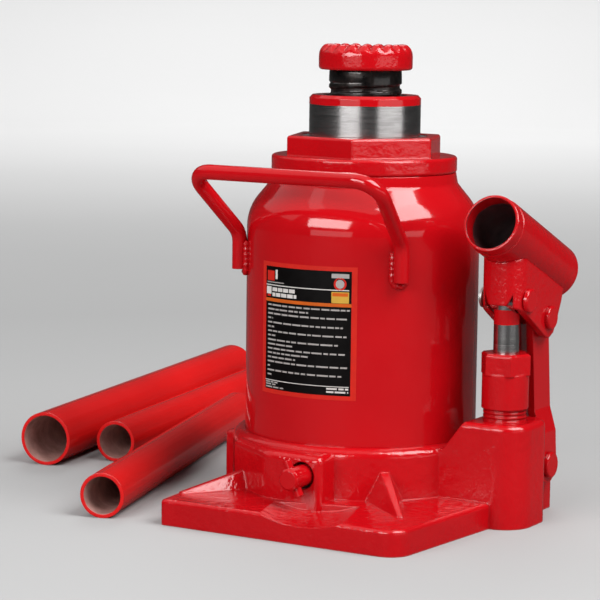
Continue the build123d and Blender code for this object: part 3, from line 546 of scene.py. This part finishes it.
# How full each row of short bars is, from the top row down
BAR_ROWS = (1.0, 0.55, 0.97, 0.08, 0.93, 0.10, 0.97, 0.12, 0.88, 0.36, 0.96, 0.55, 0.40, 0.98,
            0.04, 0.92, 0.07)
BAR_ROW_TOP = 0.682
BAR_ROW_PITCH = 0.0355
# Each print lies one, two or three of these above the plate
PRINT_LAYER = 0.015 * MM


def curved_patch(bm, radius, left, right, low, high, finish):
    """Rectangle wrapped on the tank: left and right in metres of arc from the front."""
    chord = 2.0 * MM
    steps = max(1, math.ceil((right - left) / chord))
    columns = []
    for step in range(steps + 1):
        angle = (left + (right - left) * step / steps) / radius
        x = radius * math.sin(angle)
        y = -radius * math.cos(angle)
        columns.append((bm.verts.new((x, y, low)), bm.verts.new((x, y, high))))
    for (a, b), (c, d) in zip(columns, columns[1:]):
        bm.faces.new((a, c, d, b)).material_index = finish


def bars(bm, radius, left, right, low, high, finish, rng):
    """A row of short plain bars with gaps, like a line of small print but with no letters."""
    while left < right:
        stop = min(left + rng.uniform(1.6, 5.2) * MM, right)
        curved_patch(bm, radius, left, stop, low, high, finish)
        left = stop + rng.uniform(0.45, 0.8) * MM


def badge(bm, radius, across, height, size, rim, middle):
    """Plain round spot with a ring, wrapped on the tank."""
    sides = 24
    middle_share = 0.68
    for outer, layer, finish in ((size, 0.0, rim), (size * middle_share, PRINT_LAYER, middle)):
        ring = []
        for step in range(sides):
            turn = ROUND * step / sides
            angle = (across + outer * math.cos(turn)) / radius
            r = radius + layer
            place = (r * math.sin(angle), -r * math.cos(angle), height + outer * math.sin(turn))
            ring.append(bm.verts.new(place))
        bm.faces.new(ring).material_index = finish


def label():
    """Printed label with plain generic blocks and bars, in place of its wording and marks."""
    low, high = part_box("label_plate")
    plate = math.hypot(high.x, high.y)
    half = plate * math.asin(high.x / plate)
    side_border = 2.3 * MM
    end_border = 1.8 * MM
    left, right = -half + side_border, half - side_border
    foot, head = low.z + end_border, high.z - end_border
    ink = plate + 2 * PRINT_LAYER
    rng = random.Random(20)
    bm = bmesh.new()

    def across(share):
        return left + (right - left) * share

    def up(share):
        return foot + (head - foot) * share

    def block(x0, x1, y0, y1, colour, layer=ink):
        curved_patch(bm, layer, across(x0), across(x1), up(y0), up(y1), LABEL_INDEX[colour])

    def bar_row(x0, x1, y, tall, colour, fill=1.0):
        start, stop = across(x0), across(x1)
        bars(bm, ink, start, start + (stop - start) * fill, up(y), up(y + tall),
             LABEL_INDEX[colour], rng)

    curved_patch(bm, plate, -half, half, low.z, high.z, LABEL_INDEX["red"])
    curved_patch(bm, plate + PRINT_LAYER, left, right, foot, head, LABEL_INDEX["black"])
    for values in LABEL_BLOCKS:
        block(*values)
    block(*YELLOW_BLOCK_STRIPE, layer=ink + PRINT_LAYER)
    heading_end = 0.40
    for y in (0.800, 0.758):
        x = 0.10
        while x < heading_end:
            wide = rng.uniform(0.035, 0.075)
            block(x, min(x + wide, heading_end + 0.02), y, y + 0.030, "white")
            x += wide + 0.010
    for row, fill in enumerate(BAR_ROWS):
        bar_row(0.035, 0.985, BAR_ROW_TOP - BAR_ROW_PITCH * row, 0.013, "grey", fill)
    for y, fill in ((0.052, 0.18), (0.034, 0.15), (0.012, 0.26)):
        bar_row(0.01, 1.0, y, 0.011, "grey", fill)
    for y in (0.048, 0.022):
        bar_row(0.76, 0.98, y, 0.014, "white")
    badge(bm, ink, across(0.885), up(0.898), 2.6 * MM, LABEL_INDEX["red"], LABEL_INDEX["grey"])
    finishes = [film("label_" + name, colour) for name, colour in LABEL_COLOURS.items()]
    piece = new_piece("label_print", bm, "jack_body", *finishes, slot="label_film")
    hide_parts("label_plate")


# ---------------------------------------------------------------- springs and welds

def valve_spring(node, ball):
    """Coil spring under a check ball, riding on the ball's body."""
    low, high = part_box(node)
    centre = (low + high) / 2
    wire = 0.3 * MM
    coil = (high.x - low.x) / 2 - wire
    foot = low.z + wire
    rise = high.z - low.z - 2 * wire
    turns = 4
    steps = 24 * turns
    sides = 8
    bm = bmesh.new()
    rings = []
    for step in range(steps + 1):
        angle = ROUND * turns * step / steps
        outward = Vector((math.cos(angle), math.sin(angle), 0))
        middle = Vector((centre.x, centre.y, foot + rise * step / steps)) + outward * coil
        ring = []
        for side in range(sides):
            turn = ROUND * side / sides
            ring.append(bm.verts.new(middle + wire * (outward * math.cos(turn) + UP * math.sin(turn))))
        rings.append(ring)
    bead(bm, rings)
    piece = new_piece(node + "_coil", bm, ball, PLAIN, slot="plain_steel")
    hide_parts(node)
    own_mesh(piece)


def weld_bead(name, foot_x, foot_y, low_z, high_z, seed):
    """Lumpy bead round the end of one carry-handle foot, where it meets the tank.

    It runs down one side of the foot, round under it and up the other side.
    """
    rng = random.Random(seed)
    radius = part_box("reservoir_tank")[1].x + 0.75 * MM
    around = math.atan2(foot_y, foot_x)
    outward = Vector((math.cos(around), math.sin(around), 0))
    spread = 3.0 * MM
    sag = 0.9
    down_end, up_start = 0.36, 0.64
    steps = 46
    points = []
    for step in range(steps + 1):
        t = step / steps
        if t < down_end:
            side, z = -spread, high_z + (low_z - high_z) * t / down_end
        elif t > up_start:
            side, z = spread, low_z + (high_z - low_z) * (t - up_start) / (1 - up_start)
        else:
            turn = math.pi * (t - down_end) / (up_start - down_end)
            side, z = -spread * math.cos(turn), low_z - spread * sag * math.sin(turn)
        angle = around + side / radius
        points.append(Vector((radius * math.cos(angle), radius * math.sin(angle), z)))
    size = 1.35
    ripple, ripple_turn = 0.28, 1.9
    unevenness, lumpiness = 0.18, 0.10
    end_size, end_growth = 0.45, 0.25
    sides = 10
    bm = bmesh.new()
    rings = []
    for index, point in enumerate(points):
        ahead = points[min(index + 1, steps)] - points[max(index - 1, 0)]
        across = ahead.normalized().cross(outward).normalized()
        taper = min(1.0, end_size + end_growth * min(index, steps - index))
        wave = ripple * math.sin(index * ripple_turn) + rng.uniform(-unevenness, unevenness)
        thick = (size + wave) * MM * taper
        ring = []
        for side in range(sides):
            turn = ROUND * side / sides
            reach = thick * (1 + rng.uniform(-lumpiness, lumpiness))
            ring.append(bm.verts.new(point + reach * (across * math.cos(turn) + outward * math.sin(turn))))
        rings.append(ring)
    bead(bm, rings)
    piece = new_piece(name, bm, "jack_body", CAST_RED)
    subdivide = piece.modifiers.new("round", "SUBSURF")
    subdivide.levels = 1
    subdivide.render_levels = 1


def weld_beads():
    """Beads at both feet of the carry handle, found from the lowest end faces of its rod."""
    rod = nodes["carry_handle"].data
    low = min(v.co.z for v in rod.vertices)
    ends = [v.co for v in rod.vertices if v.co.z < low + 0.05 * MM]
    for name, side, seed in (("weld_left", -1, 3), ("weld_right", 1, 8)):
        foot = [corner for corner in ends if corner.x * side > 0]
        x, y = [(min(c[k] for c in foot) + max(c[k] for c in foot)) / 2 for k in (0, 1)]
        weld_bead(name, x, y, low + 1.0 * MM, low + 12.0 * MM, seed)


# ---------------------------------------------------------------- studio

def stage_bowl(name, lift, dark, pale):
    """Floor whose far edge sweeps up into a low wall all round."""
    flat = 3.0 - lift
    sweep = 0.6
    wall = 1.6
    steps = 8
    profile = [(0.02, lift), (1.0, lift), (2.0, lift)]
    for step in range(steps + 1):
        turn = math.radians(90 * step / steps)
        profile.append((flat + sweep * math.sin(turn), lift + sweep * (1 - math.cos(turn))))
    profile.append((flat + sweep, wall))
    bm = bmesh.new()
    rows = lathe(bm, profile, 96)
    bm.faces.new(rows[0])
    bmesh.ops.recalc_face_normals(bm, faces=bm.faces)
    mesh = bpy.data.meshes.new(name)
    bm.to_mesh(mesh)
    bm.free()
    mesh.shade_smooth()
    bowl = bpy.data.objects.new(name, mesh)
    bpy.context.scene.collection.objects.link(bowl)
    g = Graph(name)
    g.set(Roughness=0.8, Specular_IOR_Level=0.1)
    clouds = g.ramp(g.noise(1.5), (NOISE_LOW, (dark,) * 3), (NOISE_HIGH, (pale,) * 3))
    g.feed(clouds, "Base Color")
    mesh.materials.append(g.material)
    return bowl, g


def glow_far_out(g):
    """Lets the floor shine more the farther it is from the jack, so that its far end stays pale."""
    near, far = 0.6, 3.4
    strength = 0.42
    where = g.add("ShaderNodeTexCoord")
    length = g.add("ShaderNodeVectorMath", operation="LENGTH")
    g.link(where.outputs["Object"], length.inputs[0])
    g.feed(g.remap(length.outputs["Value"], near, far, 0.0, strength), "Emission Strength")
    g.set(Emission_Color=(1.0, 1.0, 1.0, 1.0))


def stage_floor():
    """Pale floor, with a dark twin just above it that only gloss sees, so that the paint stays deep."""
    floor, looks = stage_bowl("floor", 0.0, dark=0.33, pale=0.35)
    glow_far_out(looks)
    twin = stage_bowl("dark_reflection", 0.4 * MM, dark=0.055, pale=0.06)[0]
    for ray in ("camera", "diffuse", "transmission", "volume_scatter", "shadow"):
        setattr(twin, "visible_" + ray, False)
    return floor


def compass(azimuth, elevation):
    """Unit vector by compass angle from the front, -Y, towards +X, and by height above the floor."""
    turn = math.radians(azimuth)
    rise = math.radians(elevation)
    return Vector((math.sin(turn) * math.cos(rise), -math.cos(turn) * math.cos(rise), math.sin(rise)))


# Softboxes: compass angle, elevation, distance from what they aim at, width, height and radiance
LIGHTS = {
    "key": (87, 48, 1.3, 0.90, 0.85, 11.0),
    "front": (-6, 22, 1.3, 0.95, 0.42, 11.0),
    "top": (0, 88, 1.9, 2.4, 2.4, 0.75),
    "fill": (-75, 42, 1.5, 1.6, 1.2, 0.6),
    "left_card": (-2, 2, 1.6, 1.2, 0.26, 1.5),
    "right_card": (84, 2, 1.6, 1.7, 0.26, 1.5),
    "back_floor": (209, 80, 2.2, 1.4, 1.8, 3.5),
}
JACK_MIDDLE = Vector((0, 0, 0.12))


def soft_light(name, aim=JACK_MIDDLE):
    """Softbox that faces its aim, and that the camera doesn't see."""
    azimuth, elevation, distance, width, height, radiance = LIGHTS[name]
    way = compass(azimuth, elevation)
    data = bpy.data.lights.new(name, "AREA")
    data.shape = "RECTANGLE"
    data.size = width
    data.size_y = height
    data.energy = radiance * width * height * math.pi
    light = bpy.data.objects.new(name, data)
    light.visible_camera = False
    light.location = aim + way * distance
    light.rotation_euler = (-way).to_track_quat("-Z", "Y").to_euler()
    bpy.context.scene.collection.objects.link(light)
    return light


def leave_unlit(light, floor):
    """Keeps a lamp's light off the floor."""
    receivers = bpy.data.collections.new(light.name + "_receivers")
    receivers.objects.link(floor)
    light.light_linking.receiver_collection = receivers
    receivers.collection_objects[0].light_linking.link_state = "EXCLUDE"


def studio():
    """Two softboxes for the paint, two dim cards for the steel, and lamps for the floor."""
    floor = stage_floor()
    world = bpy.data.worlds.new("studio")
    world.use_nodes = True
    background = world.node_tree.nodes["Background"]
    background.inputs["Color"].default_value = (0.95, 0.96, 1.0, 1.0)
    background.inputs["Strength"].default_value = 0.05
    bpy.context.scene.world = world
    for name in ("key", "front", "top", "fill"):
        soft_light(name)
    for name in ("left_card", "right_card"):
        leave_unlit(soft_light(name), floor)
    behind_jack = compass(209, 0) * 2.3
    soft_light("back_floor", behind_jack).data.spread = math.radians(100)
    bpy.context.scene.view_settings.view_transform = "Standard"


def camera():
    """Camera low in front and to the pump's side."""
    azimuth = math.radians(29.18)
    distance = 0.98633
    height = 0.20897
    yaw = math.radians(1.51)
    pitch = math.radians(7.2)
    roll = math.radians(0.69)
    place = Vector((distance * math.sin(azimuth), -distance * math.cos(azimuth), height))
    heading = azimuth + yaw
    forward = Vector((-math.sin(heading) * math.cos(pitch), math.cos(heading) * math.cos(pitch),
                      -math.sin(pitch)))
    level = Vector((math.cos(heading), math.sin(heading), 0))
    upright = level.cross(forward)
    right = math.cos(roll) * level + math.sin(roll) * upright
    up = -math.sin(roll) * level + math.cos(roll) * upright
    data = bpy.data.cameras.new("camera")
    data.sensor_width = 36.0
    data.lens = 142.5
    data.clip_start = 0.05
    body = bpy.data.objects.new("camera", data)
    rotation = Matrix((right, up, -forward)).transposed()
    body.matrix_world = Matrix.Translation(place) @ rotation.to_4x4()
    bpy.context.scene.collection.objects.link(body)
    bpy.context.scene.camera = body


cad_finishes()
extension_screw()
cast_saddle()
ram_paint()
plunger_paint()
mouth_paint()
label()
weld_beads()
valve_spring("delivery_spring", "delivery_ball")
valve_spring("overload_spring", "overload_ball")
studio()
camera()
